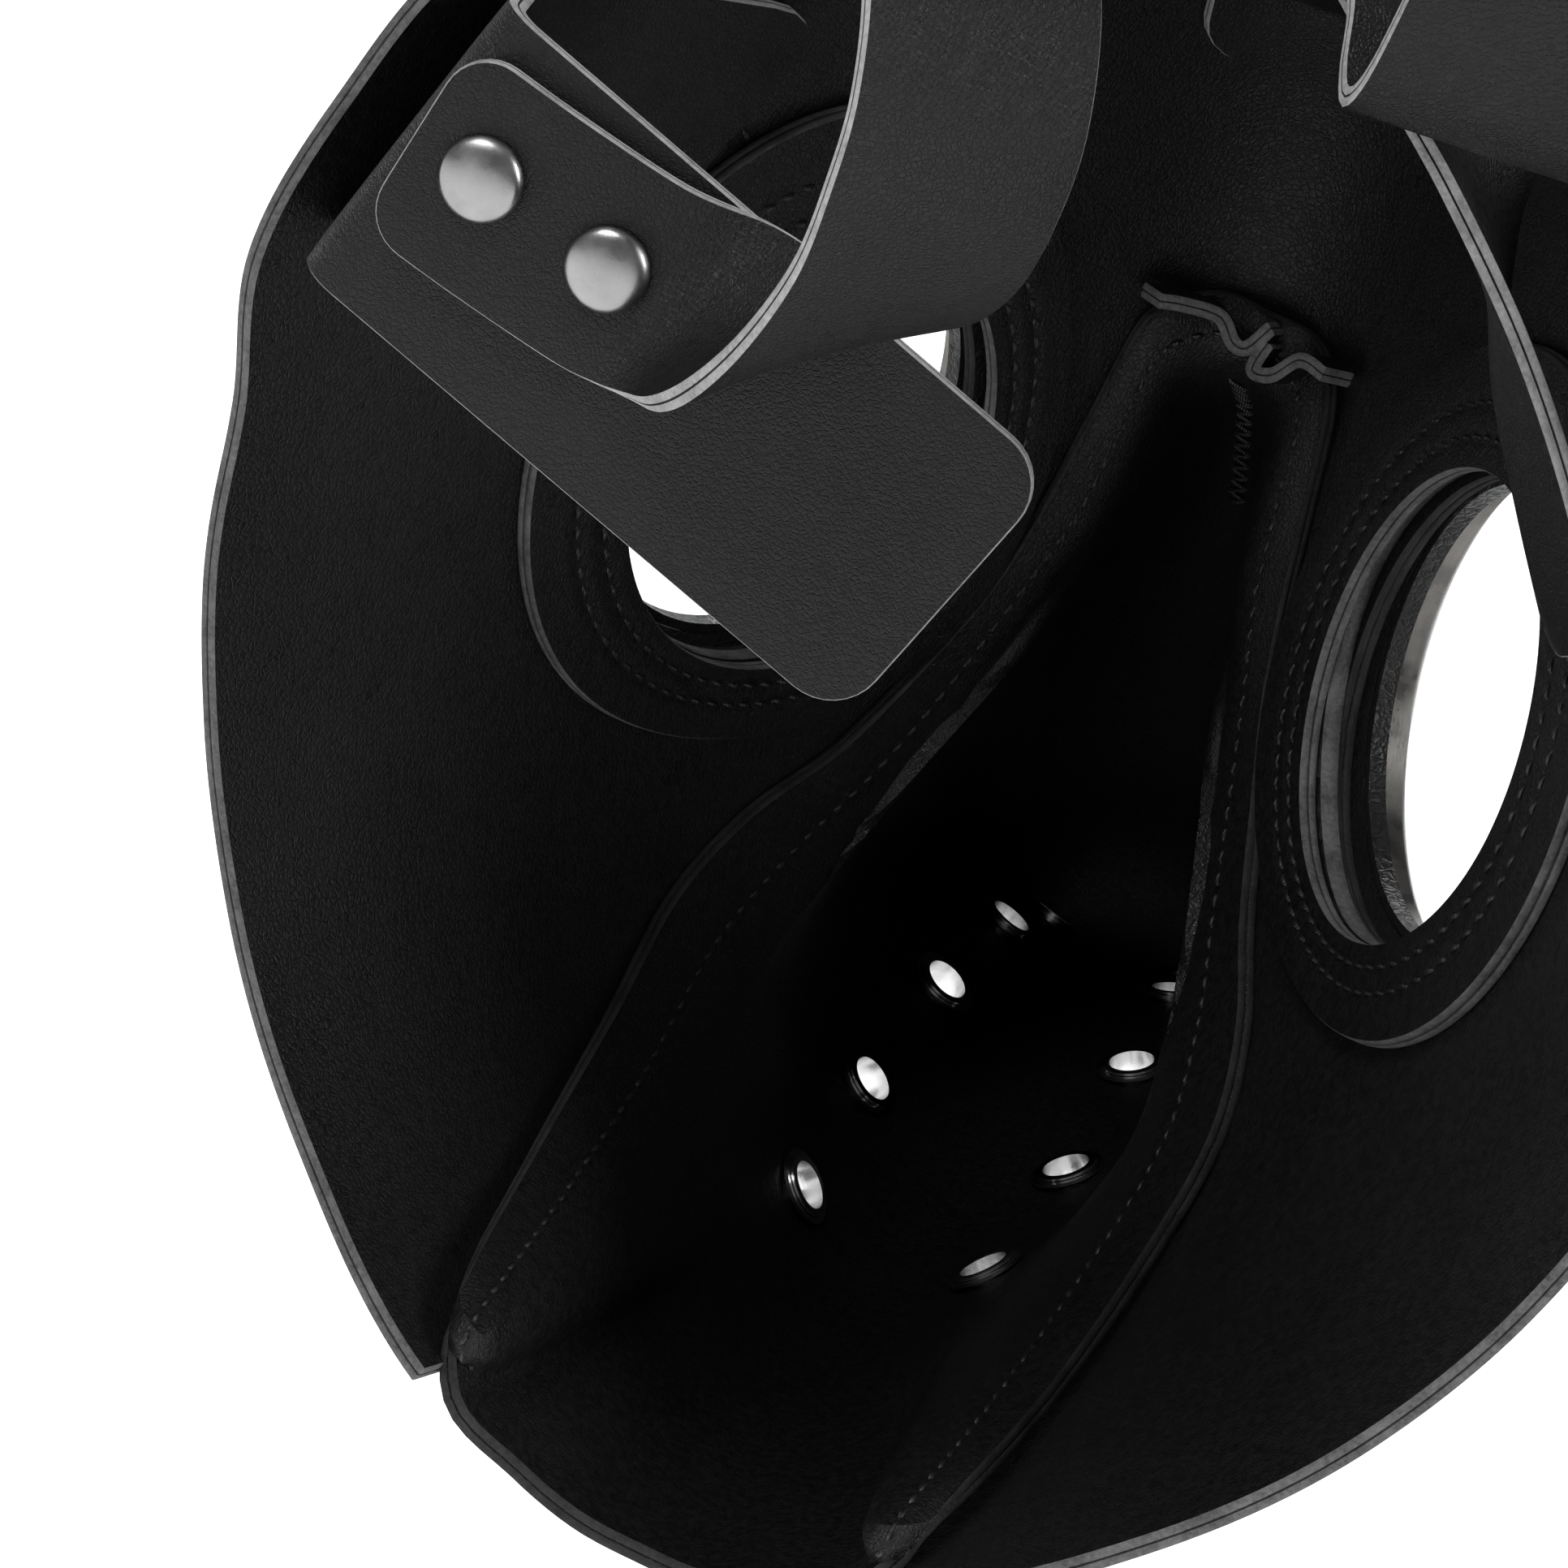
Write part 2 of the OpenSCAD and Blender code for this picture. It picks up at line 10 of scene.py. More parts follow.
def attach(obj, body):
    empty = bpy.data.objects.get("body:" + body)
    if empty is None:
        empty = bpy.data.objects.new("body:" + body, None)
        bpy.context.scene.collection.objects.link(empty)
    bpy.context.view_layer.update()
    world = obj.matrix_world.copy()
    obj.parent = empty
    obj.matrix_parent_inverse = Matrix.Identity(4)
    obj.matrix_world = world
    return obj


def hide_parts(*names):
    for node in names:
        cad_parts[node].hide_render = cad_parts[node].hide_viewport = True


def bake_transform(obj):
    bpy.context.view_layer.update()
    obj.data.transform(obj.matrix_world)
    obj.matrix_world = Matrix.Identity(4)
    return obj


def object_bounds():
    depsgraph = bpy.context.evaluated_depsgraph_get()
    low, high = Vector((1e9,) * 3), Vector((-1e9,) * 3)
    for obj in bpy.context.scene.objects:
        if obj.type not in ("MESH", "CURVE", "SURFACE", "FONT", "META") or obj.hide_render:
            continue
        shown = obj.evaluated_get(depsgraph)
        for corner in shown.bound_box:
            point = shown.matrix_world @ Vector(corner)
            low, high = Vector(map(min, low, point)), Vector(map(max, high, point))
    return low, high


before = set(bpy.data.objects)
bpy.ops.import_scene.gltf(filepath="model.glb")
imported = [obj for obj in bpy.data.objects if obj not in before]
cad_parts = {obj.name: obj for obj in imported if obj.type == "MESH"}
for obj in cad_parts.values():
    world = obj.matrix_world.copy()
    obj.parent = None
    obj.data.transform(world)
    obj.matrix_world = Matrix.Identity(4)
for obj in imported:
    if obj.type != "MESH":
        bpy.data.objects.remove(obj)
cad_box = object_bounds()
scene = bpy.context.scene
MM = 0.001

# ---------------------------------------------------------------- camera

EYE = Vector((0.0686, -0.4651, 0.1291))
YAW, PITCH, ROLL = math.radians(-12.1), math.radians(19.9), math.radians(19.4)


def camera():
    data = bpy.data.cameras.new("camera")
    obj = bpy.data.objects.new("camera", data)
    scene.collection.objects.link(obj)
    data.lens, data.sensor_width = 89.44, 36
    data.clip_start, data.clip_end = 0.01, 60
    ahead = Vector((math.sin(YAW) * math.cos(PITCH), math.cos(YAW) * math.cos(PITCH), -math.sin(PITCH)))
    flat = ahead.cross(Vector((0, 0, 1))).normalized()
    top = flat.cross(ahead)
    right = flat * math.cos(ROLL) + top * math.sin(ROLL)
    up = top * math.cos(ROLL) - flat * math.sin(ROLL)
    m = Matrix((right, up, -ahead)).transposed().to_4x4()
    m.translation = EYE
    obj.matrix_world = m
    scene.camera = obj


camera()

# ---------------------------------------------------------------- materials


def shader(name):
    m = bpy.data.materials.new(name)
    m.use_nodes = True
    return m, m.node_tree, m.node_tree.nodes["Principled BSDF"]


def add(tree, kind, **values):
    n = tree.nodes.new(kind)
    for k, v in values.items():
        if hasattr(n, k):
            setattr(n, k, v)
        else:
            n.inputs[k].default_value = v
    return n


def ramp(tree, source, stops):
    r = tree.nodes.new("ShaderNodeValToRGB")
    e = r.color_ramp.elements
    e[0].position, e[1].position = stops[0][0], stops[-1][0]
    for pos, _ in stops[1:-1]:
        e.new(pos)
    for el, (pos, c) in zip(sorted(e, key=lambda q: q.position), stops):
        el.color = (*c, 1) if len(c) == 3 else c
    tree.links.new(source, r.inputs["Fac"])
    return r


def leather(name, dark, light, rough, cell, grain, wrinkle=0.0, shine=0.3):
    """Grained leather: pebbles of about cell millimetres, soft creases and an uneven dye."""
    m, t, b = shader(name)
    link = t.links.new
    place = add(t, "ShaderNodeTexCoord").outputs["Object"]
    warp = add(t, "ShaderNodeTexNoise", Scale=260.0, Detail=3.0)
    link(place, warp.inputs["Vector"])
    shift = add(t, "ShaderNodeVectorMath", operation="MULTIPLY_ADD")
    shift.inputs[1].default_value = (0.0011,) * 3
    link(warp.outputs["Color"], shift.inputs[0])
    link(place, shift.inputs[2])
    pebble = add(t, "ShaderNodeTexVoronoi", feature="DISTANCE_TO_EDGE", Scale=1000.0 / cell)
    fine = add(t, "ShaderNodeTexVoronoi", feature="DISTANCE_TO_EDGE", Scale=2300.0 / cell)
    for v in (pebble, fine):
        link(shift.outputs[0], v.inputs["Vector"])
    mottle = add(t, "ShaderNodeTexNoise", Scale=38.0, Detail=6.0, Roughness=0.65)
    dust = add(t, "ShaderNodeTexNoise", Scale=900.0, Detail=2.0)
    crease = add(t, "ShaderNodeTexNoise", Scale=95.0, Detail=5.0, Distortion=1.6)
    for v in (mottle, dust, crease):
        link(place, v.inputs["Vector"])
    big = ramp(t, pebble.outputs["Distance"], [(0.0, (0, 0, 0)), (0.16, (0.8,) * 3), (0.5, (1, 1, 1))])
    small = ramp(t, fine.outputs["Distance"], [(0.0, (0, 0, 0)), (0.25, (1, 1, 1))])
    middle = [(a + c) / 2 for a, c in zip(dark, light)]
    colour = ramp(t, mottle.outputs["Fac"], [(0.3, dark), (0.55, middle), (0.72, light)])
    pores = add(t, "ShaderNodeMix", data_type="RGBA", blend_type="MULTIPLY")
    pores.inputs["Factor"].default_value = 0.35
    link(colour.outputs["Color"], pores.inputs["A"])
    link(big.outputs["Color"], pores.inputs["B"])
    link(pores.outputs["Result"], b.inputs["Base Color"])
    gloss = ramp(t, dust.outputs["Fac"], [(0.35, (rough - 0.1,) * 3), (0.65, (rough + 0.1,) * 3)])
    link(gloss.outputs["Color"], b.inputs["Roughness"])
    height = add(t, "ShaderNodeMath", operation="MULTIPLY_ADD")
    height.inputs[1].default_value = 0.35
    link(small.outputs["Color"], height.inputs[0])
    link(big.outputs["Color"], height.inputs[2])
    bump = add(t, "ShaderNodeBump", Strength=grain, Distance=0.00022)
    link(height.outputs[0], bump.inputs["Height"])
    fold = add(t, "ShaderNodeBump", Strength=wrinkle, Distance=0.0012)
    link(crease.outputs["Fac"], fold.inputs["Height"])
    link(bump.outputs["Normal"], fold.inputs["Normal"])
    link(fold.outputs["Normal"], b.inputs["Normal"])
    b.inputs["Specular IOR Level"].default_value = shine
    return m


def cut_edge(name, dark, light):
    """The fibrous cut edge of leather."""
    m, t, b = shader(name)
    link = t.links.new
    place = add(t, "ShaderNodeTexCoord").outputs["Object"]
    fibre = add(t, "ShaderNodeTexNoise", Scale=1500.0, Detail=4.0, Roughness=0.7)
    patch = add(t, "ShaderNodeTexNoise", Scale=210.0, Detail=3.0)
    for v in (fibre, patch):
        link(place, v.inputs["Vector"])
    both = add(t, "ShaderNodeMath", operation="MULTIPLY_ADD")
    both.inputs[1].default_value = 0.55
    link(fibre.outputs["Fac"], both.inputs[0])
    half = add(t, "ShaderNodeMath", operation="MULTIPLY")
    half.inputs[1].default_value = 0.45
    link(patch.outputs["Fac"], half.inputs[0])
    link(half.outputs[0], both.inputs[2])
    colour = ramp(t, both.outputs[0], [(0.36, dark), (0.62, light)])
    link(colour.outputs["Color"], b.inputs["Base Color"])
    bump = add(t, "ShaderNodeBump", Strength=0.7, Distance=0.0002)
    link(fibre.outputs["Fac"], bump.inputs["Height"])
    link(bump.outputs["Normal"], b.inputs["Normal"])
    b.inputs["Roughness"].default_value = 0.85
    b.inputs["Specular IOR Level"].default_value = 0.2
    return m


def metal(name, dark, light, rough, scratch=0.25):
    m, t, b = shader(name)
    link = t.links.new
    place = add(t, "ShaderNodeTexCoord").outputs["Object"]
    cloud = add(t, "ShaderNodeTexNoise", Scale=170.0, Detail=6.0, Roughness=0.6)
    hair = add(t, "ShaderNodeTexNoise", Scale=2600.0, Detail=3.0, Roughness=0.7)
    for v in (cloud, hair):
        link(place, v.inputs["Vector"])
    colour = ramp(t, cloud.outputs["Fac"], [(0.35, dark), (0.65, light)])
    link(colour.outputs["Color"], b.inputs["Base Color"])
    gloss = ramp(t, cloud.outputs["Fac"], [(0.35, (rough * 0.7,) * 3), (0.7, (rough * 1.4,) * 3)])
    link(gloss.outputs["Color"], b.inputs["Roughness"])
    bump = add(t, "ShaderNodeBump", Strength=scratch, Distance=0.00004)
    link(hair.outputs["Fac"], bump.inputs["Height"])
    link(bump.outputs["Normal"], b.inputs["Normal"])
    b.inputs["Metallic"].default_value = 1.0
    return m


def lens_glass(name):
    m, t, b = shader(name)
    link = t.links.new
    place = add(t, "ShaderNodeTexCoord").outputs["Object"]
    smear = add(t, "ShaderNodeTexNoise", Scale=60.0, Detail=5.0, Distortion=0.8)
    link(place, smear.inputs["Vector"])
    gloss = ramp(t, smear.outputs["Fac"], [(0.45, (0.02,) * 3), (0.75, (0.12,) * 3)])
    link(gloss.outputs["Color"], b.inputs["Roughness"])
    b.inputs["Base Color"].default_value = (0.93, 0.94, 0.95, 1)
    b.inputs["Transmission Weight"].default_value = 1.0
    b.inputs["IOR"].default_value = 1.49
    return m


def thread(name, dark, light):
    m, t, b = shader(name)
    link = t.links.new
    place = add(t, "ShaderNodeTexCoord").outputs["Object"]
    twist = add(t, "ShaderNodeTexWave", Scale=900.0, Distortion=2.0, Detail=1.0)
    tone = add(t, "ShaderNodeTexNoise", Scale=500.0, Detail=2.0)
    for v in (twist, tone):
        link(place, v.inputs["Vector"])
    colour = ramp(t, tone.outputs["Fac"], [(0.35, dark), (0.65, light)])
    link(colour.outputs["Color"], b.inputs["Base Color"])
    bump = add(t, "ShaderNodeBump", Strength=0.5, Distance=0.0001)
    link(twist.outputs["Fac"], bump.inputs["Height"])
    link(bump.outputs["Normal"], b.inputs["Normal"])
    b.inputs["Roughness"].default_value = 0.45
    b.inputs["Specular IOR Level"].default_value = 0.45
    return m


BLACK = leather("mask_leather", (0.004,) * 3, (0.008,) * 3, 0.48, 0.8, 0.4, 0.08)
OUTER = leather("mask_leather_outside", (0.006,) * 3, (0.012,) * 3, 0.42, 1.1, 0.5, 0.12)
STRAP = leather("strap_leather", (0.008,) * 3, (0.014,) * 3, 0.42, 0.6, 0.4, 0.06, 0.22)
EDGE = cut_edge("strap_edge", (0.2,) * 3, (0.4,) * 3)
RIM_EDGE = cut_edge("panel_edge", (0.05,) * 3, (0.14,) * 3)
# painted shade: the cut edges deep in the beak and round the flange holes inside the eye tubes get an edge
# colour painted far darker than the panel's edges
SHADED_EDGE = cut_edge("shaded_edge", (0.012,) * 3, (0.035,) * 3)
GLUE = cut_edge("ply_line", (0.015,) * 3, (0.05,) * 3)
THREAD = thread("thread", (0.004,) * 3, (0.012,) * 3)
TUBE = leather("tube_leather", (0.006,) * 3, (0.012,) * 3, 0.4, 1.2, 0.4, 0.2)
NICKEL = metal("nickel", (0.55,) * 3, (0.72,) * 3, 0.2)
RIVET = metal("rivet_metal", (0.24,) * 3, (0.34,) * 3, 0.3)
BEZEL = metal("bezel_metal", (0.1, 0.095, 0.09), (0.2, 0.19, 0.175), 0.34, 0.5)
GLASS = lens_glass("lens_glass")
SHEET = [BLACK, OUTER, RIM_EDGE, GLUE]
# the beak's cut edges take the darker, painted-shade edge colour, and its ply line is plain black
BEAK_SHEET = [BLACK, OUTER, SHADED_EDGE, BLACK]
BAND = [STRAP, STRAP, EDGE, GLUE]

# ---------------------------------------------------------------- surface maths (millimetres)

LEATHER = 2.4           # thickness of the two plies
GAP = 0.15              # between layers that are sewn together
PLY = LEATHER + GAP
EYE_X, EYE_R = 42.3, 30.0
BRIDGE_Y, CHEEK, RIDGE, LEAN = 44, 2.3, 37.0, 0.133
BROW_CURVE, BROW_Z = 0.006, 30
SLANT = 0.1             # sideways lean of a stitch
SAMPLE = 0.15           # spacing of points along a row of stitches
HOLE_SIDES = 64


def jaw(z):
    q = np.clip((-5.0 - z) / 95.0, 0, 0.98)
    return (1 - q * q) ** 0.6


def face(s, z):
    s, z = np.broadcast_arrays(np.asarray(s, float), np.asarray(z, float))
    y = BRIDGE_Y - CHEEK * (np.sqrt(s * s + RIDGE ** 2) - RIDGE) - LEAN * z
    y = y - BROW_CURVE * np.maximum(0, z - BROW_Z) ** 2
    return np.stack([s * jaw(z), y, z], -1)


def unit(v):
    return v / np.maximum(np.linalg.norm(v, axis=-1, keepdims=True), 1e-9)


def inward(s, z, e=0.4):
    return unit(np.cross(face(s + e, z) - face(s - e, z), face(s, z + e) - face(s, z - e)))


def on_face(s, z, depth=0.0):
    """A point of the face panel's inner side, depth millimetres towards the wearer."""
    s, z = np.asarray(s, float), np.asarray(z, float)
    return face(s, z) + inward(s, z) * np.asarray(depth, float)[..., None]


def bend(a, b, c, d, t):
    """Point between b and c of the smooth curve through a, b, c and d."""
    square, cube = 2 * a - 5 * b + 4 * c - d, 3 * b - a - 3 * c + d
    return 0.5 * (2 * b + (c - a) * t + square * t * t + cube * t ** 3)


def spline(p, n):
    """Smooth curve through the rows of p, with n steps between two of them."""
    p = np.asarray(p, float)
    out = []
    for i in range(len(p) - 1):
        a, b, c, d = p[max(i - 1, 0)], p[i], p[i + 1], p[min(i + 2, len(p) - 1)]
        for j in range(n):
            out.append(bend(a, b, c, d, j / n))
    return np.array(out + [p[-1]])


def normals(g, wrap=False):
    if wrap:
        across = np.roll(g, -1, 1) - np.roll(g, 1, 1)
    else:
        across = np.gradient(g, axis=1)
    return unit(np.cross(across, np.gradient(g, axis=0)))


def evenly(path, step):
    """path resampled at equal steps: points, and places in the list they came from."""
    path = np.asarray(path, float)
    d = np.r_[0, np.cumsum(np.linalg.norm(np.diff(path, axis=0), axis=1))]
    n = max(2, int(round(d[-1] / step)) + 1)
    s = np.linspace(0, d[-1], n)
    return np.stack([np.interp(s, d, path[:, k]) for k in range(3)], 1), np.interp(s, d, np.arange(len(path)))


def nearest(points, seam):
    """Distance from each point to the nearest point of a seam."""
    tree = kdtree.KDTree(len(seam))
    for i, p in enumerate(seam):
        tree.insert(p, i)
    tree.balance()
    flat = points.reshape(-1, 3)
    return np.array([tree.find(p)[2] for p in flat]).reshape(points.shape[:-1])


def dented(g, n, seams, depth, width):
    """g with a soft groove along each seam."""
    seam = np.concatenate([evenly(s, 0.8)[0] for s in seams])
    return g - n * (depth * np.exp(-(nearest(g, seam) / width) ** 2))[..., None]


# ---------------------------------------------------------------- meshes


def piece(name, verts, faces, mats, index=None, body="mask", crease=40):
    mesh = bpy.data.meshes.new(name)
    mesh.from_pydata([tuple(v) for v in np.asarray(verts, float) * MM], [], faces)
    for m in mats:
        mesh.materials.append(m)
    if index is not None:
        mesh.polygons.foreach_set("material_index", np.asarray(index, np.int32))
    bm = bmesh.new()
    bm.from_mesh(mesh)
    bmesh.ops.recalc_face_normals(bm, faces=bm.faces)
    for f in bm.faces:
        f.smooth = True
    for e in bm.edges:
        if len(e.link_faces) == 2 and e.calc_face_angle(0) > math.radians(crease):
            e.smooth = False
    bm.to_mesh(mesh)
    bm.free()
    obj = bpy.data.objects.new(name, mesh)
    scene.collection.objects.link(obj)
    if body:
        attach(obj, body)
    return obj


RIM_T = (0.0, 0.1, 0.27, 0.44, 0.5, 0.56, 0.73, 0.9, 1.0)
RIM_OUT = (0.0, 0.13, 0.2, 0.13, -0.04, 0.13, 0.2, 0.13, 0.0)


def slab(name, front, back, mats, wrap=False, close=False, body="mask"):
    """A leather sheet between two grids, with a rounded two-ply cut edge. close fills the last row."""
    rows, cols = front.shape[:2]
    n = rows * cols
    at = lambda i, j: i * cols + j % cols
    verts = [front.reshape(-1, 3), back.reshape(-1, 3)]
    faces, index = [], []
    for i in range(rows - 1):
        for j in range(cols if wrap else cols - 1):
            q = (at(i, j), at(i, j + 1), at(i + 1, j + 1), at(i + 1, j))
            faces += [q, tuple(n + k for k in reversed(q))]
            index += [0, 1]
    inside = {}
    if wrap:
        loops = [[at(0, j) for j in range(cols)]]
        inside.update({at(0, j): at(1, j) for j in range(cols)})
        if close:
            last = [at(rows - 1, j) for j in range(cols)]
            faces += [tuple(last), tuple(n + k for k in reversed(last))]
            index += [0, 1]
        else:
            loops.append([at(rows - 1, j) for j in range(cols)])
            inside.update({at(rows - 1, j): at(rows - 2, j) for j in range(cols)})
    else:
        ring = [(0, j) for j in range(cols)] + [(i, cols - 1) for i in range(1, rows)]
        ring += [(rows - 1, j) for j in range(cols - 2, -1, -1)] + [(i, 0) for i in range(rows - 2, 0, -1)]
        loops = [[at(i, j) for i, j in ring]]
        for i, j in ring:
            inside[at(i, j)] = at(min(max(i, 1), rows - 2), min(max(j, 1), cols - 2))
    f, b = verts
    count = 2 * n
    for loop in loops:
        idx = np.array(loop)
        mid = (f[idx] + b[idx]) / 2
        ins = np.array([inside[k] for k in loop])
        along = unit(np.roll(mid, -1, 0) - np.roll(mid, 1, 0))
        out = mid - (f[ins] + b[ins]) / 2
        thick = unit(f[idx] - b[idx])
        up, on = (out * thick).sum(-1, keepdims=True), (out * along).sum(-1, keepdims=True)
        out = unit(out - thick * up - along * on)
        rings = [idx]
        for t, o in zip(RIM_T[1:-1], RIM_OUT[1:-1]):
            verts.append(f[idx] * (1 - t) + b[idx] * t + out * o)
            rings.append(np.arange(count, count + len(loop)))
            count += len(loop)
        rings.append(idx + n)
        for k in range(len(rings) - 1):
            p, q = rings[k], rings[k + 1]
            glue = k in (3, 4)
            for m in range(len(loop)):
                w = (m + 1) % len(loop)
                faces.append((int(p[m]), int(p[w]), int(q[w]), int(q[m])))
                index.append(3 if glue else 2)
    return piece(name, np.concatenate(verts), faces, mats, index, body)


def sheet(name, g, d0, d1, mats, **kw):
    """A slab from distance d0 to d1 along the grid's normals."""
    n = normals(g, kw.get("wrap", False))
    return slab(name, g + n * d0, g + n * d1, mats, **kw)


def drill(obj, holes):
    """Cuts round holes: each a centre, an axis and a radius, in millimetres."""
    verts, faces = [], []
    for c, axis, r, half in holes:
        z = unit(np.asarray(axis, float))
        x = unit(np.cross(z, (0.3, 0.2, 0.9)))
        y = np.cross(z, x)
        base = len(verts)
        for h in (-half, half):
            for k in range(HOLE_SIDES):
                a = 2 * math.pi * k / HOLE_SIDES
                verts.append(c + z * h + (x * math.cos(a) + y * math.sin(a)) * r)
        top = base + HOLE_SIDES
        for k in range(HOLE_SIDES):
            q = (k + 1) % HOLE_SIDES
            faces.append((base + k, base + q, top + q, top + k))
        faces.append(tuple(base + k for k in reversed(range(HOLE_SIDES))))
        faces.append(tuple(top + k for k in range(HOLE_SIDES)))
    tool = piece(obj.name + "_tool", verts, faces, obj.data.materials[:], [2] * len(faces), body=None)
    mod = obj.modifiers.new("holes", "BOOLEAN")
    mod.operation, mod.solver, mod.object = "DIFFERENCE", "EXACT", tool
    bpy.context.view_layer.update()
    done = bpy.data.meshes.new_from_object(obj.evaluated_get(bpy.context.evaluated_depsgraph_get()))
    obj.modifiers.clear()
    obj.data = done
    tool_mesh = tool.data
    bpy.data.objects.remove(tool)
    bpy.data.meshes.remove(tool_mesh)


def stitches(name, path, normal, pitch=3.3, long=2.5, r=0.36, lift=0.12):
    """A row of sewn stitches along path, standing on the side that normal points to."""
    pts, where = evenly(path, SAMPLE)
    normal = np.asarray(normal, float)
    if normal.ndim == 1:
        nrm = np.repeat(normal[None], len(pts), 0)
    else:
        nrm = unit(np.stack([np.interp(where, np.arange(len(normal)), normal[:, k]) for k in range(3)], 1))
    step, span = int(round(pitch / SAMPLE)), int(round(long / SAMPLE))
    verts, faces = [], []
    sides, rings = 6, 7
    for start in range(0, len(pts) - span, step):
        base = len(verts)
        for k in range(rings):
            f = k / (rings - 1)
            i = start + int(round(f * span))
            a, b = pts[max(i - 1, 0)], pts[min(i + 1, len(pts) - 1)]
            t = unit(b - a)
            n = unit(nrm[i] - t * nrm[i].dot(t))
            s = np.cross(t, n)
            x = 2 * f - 1
            rad = r * max(0.25, math.sqrt(max(0, 1 - abs(x) ** 3)))
            c = pts[i] + s * (x * SLANT) + n * (lift + r * 0.7 * (1 - 1.6 * x * x))
            for q in range(sides):
                g = 2 * math.pi * q / sides
                verts.append(c + (s * math.cos(g) + n * math.sin(g)) * rad)
        for k in range(rings - 1):
            for q in range(sides):
                a, w = base + k * sides, (q + 1) % sides
                faces.append((a + q, a + w, a + sides + w, a + sides + q))
        faces.append(tuple(base + q for q in reversed(range(sides))))
        faces.append(tuple(base + (rings - 1) * sides + q for q in range(sides)))
    return piece(name, verts, faces, [THREAD])


# ---------------------------------------------------------------- face panel

RIM = [(0, 88), (22, 88), (44, 84), (63, 73), (76, 56), (82, 38), (85, 20), (84, 2), (84, -16), (84, -36),
       (85, -56), (88, -78), (92.5, -92.8)]
NOSE = [(0, 23), (5, 22), (9.5, 18), (11, 8), (12.5, -4), (17, -18), (22, -33), (28, -46), (36, -58),
        (46, -70), (59, -83), (74, -90), (87.5, -93.5)]
LAP = [(0, 31), (8, 30), (14, 25), (16.5, 10), (18.5, -4), (21.5, -17), (26.5, -29), (34, -42), (43, -51),
       (51, -61), (60, -73), (74, -84), (87.5, -90.5)]


def both(p):
    return [(-a, b) for a, b in reversed(p[1:])] + list(p)


def face_panel():
    outer, inner = spline(both(RIM), 12), spline(both(NOSE), 12)
    f = np.linspace(0, 1, 64)[:, None, None]
    sz = inner[None] * (1 - f) + outer[None] * f
    s, z = sz[..., 0], sz[..., 1]
    g, n = face(s, z), inward(s, z)
    wave = 0.25 * np.sin(s * 0.11 + 1.0) * np.sin(z * 0.09) * f[..., 0] ** 2
    front = g + n * wave[..., None]
    front = dented(front, n, [on_face(*np.array(d).T) for d in DARTS], 0.45, 0.9)
    obj = slab("panel_leather", front, front - n * LEATHER, SHEET)
    holes = []
    for side in (-1, 1):
        c, axis = eye_axis(side)
        holes.append((c, axis, EYE_R, 22))
    drill(obj, holes)
    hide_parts("face_panel")


DARTS = [[(62, 57), (58, 47.5), (54.5, 39), (52, 33)], [(-62, 57), (-58, 47.5), (-54.5, 39), (-52, 33)]]


def eye_axis(side):
    turn = math.atan(CHEEK * EYE_X / math.hypot(EYE_X, RIDGE))
    tip = math.atan(LEAN * math.cos(turn))
    c = face(EYE_X, 0.0)
    axis = np.array([math.sin(turn) * math.cos(tip), math.cos(turn) * math.cos(tip), math.sin(tip)])
    return c * (side, 1, 1), axis * (side, 1, 1)


face_panel()
for side, tag in ((-1, "left"), (1, "right")):
    dart = on_face(*spline(DARTS[0 if side < 0 else 1], 8).T)
    dart_n = inward(*spline(DARTS[0 if side < 0 else 1], 8).T)
    o = stitches(f"dart_stitches_{tag}", dart, dart_n, lift=-0.3)

# ---------------------------------------------------------------- rings round the eyes


def ring_points(f, a, up, down, out_x):
    """Spread and height at fraction f from the eye hole's edge, at angle a."""
    rx = (EYE_R * 0.5 + 0.4) * (1 - f) + out_x * f
    rz = (EYE_R + 0.4) * (1 - f) + (down + (up - down) * (np.sin(a) + 1) / 2) * f
    z = rz * np.sin(a)
    return (EYE_X + rx * np.cos(a)) / jaw(z), z


def eye_ring(name, node, side, up, down, out_x, d0, d1, rows_at, mats, face_side):
    a = np.linspace(0, 2 * math.pi, 160, endpoint=False)[None]
    f = np.linspace(0, 1, 22)[:, None]
    s, z = ring_points(f, a, up, down, out_x)
    g, n = face(s, z), inward(s, z)
    flip = np.array([side, 1, 1])
    lines = []
    for r in rows_at:
        b = np.linspace(0, 2 * math.pi, 260)
        sr, zr = ring_points(r, b, up, down, out_x)
        lines.append((sr, zr))
    seams = [face(sr, zr) for sr, zr in lines]
    groove = 0.28 * np.exp(-(nearest(g, np.concatenate([evenly(q, 0.8)[0] for q in seams])) / 0.8) ** 2)
    belly = 0.12 * np.sin(f * math.pi)
    lo = g + n * d0
    hi = g + n * d1
    if face_side > 0:
        hi = hi + n * (belly - groove)[..., None]
    else:
        hi = hi - n * (belly - groove)[..., None]
    obj = slab(name, hi * flip, lo * flip, mats, wrap=True)
    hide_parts(node)
    for k, (sr, zr) in enumerate(lines):
        nn = inward(sr, zr)
        p = face(sr, zr) + nn * (d1 - 0.25 * face_side)
        o = stitches(f"{name}_stitches_{k + 1}", p * flip, nn * face_side * flip, pitch=3.0, long=2.2, r=0.34)


for side, tag in ((-1, "left"), (1, "right")):
    eye_ring(f"facing_leather_{tag}", f"facing_ring_{tag}", side, 47, 40, 22.5, GAP, PLY, (0.24, 0.52),
             [BLACK, BLACK, RIM_EDGE, GLUE], 1)
    # the flange's hole edges take the darker edge colour, painted shade inside the eye tubes
    eye_ring(f"flange_leather_{tag}", f"goggle_flange_{tag}", side, 46, 46, 23, -PLY, -PLY - LEATHER,
             (0.55, 0.8), [OUTER, OUTER, SHADED_EDGE, BLACK], -1)

# ---------------------------------------------------------------- beak

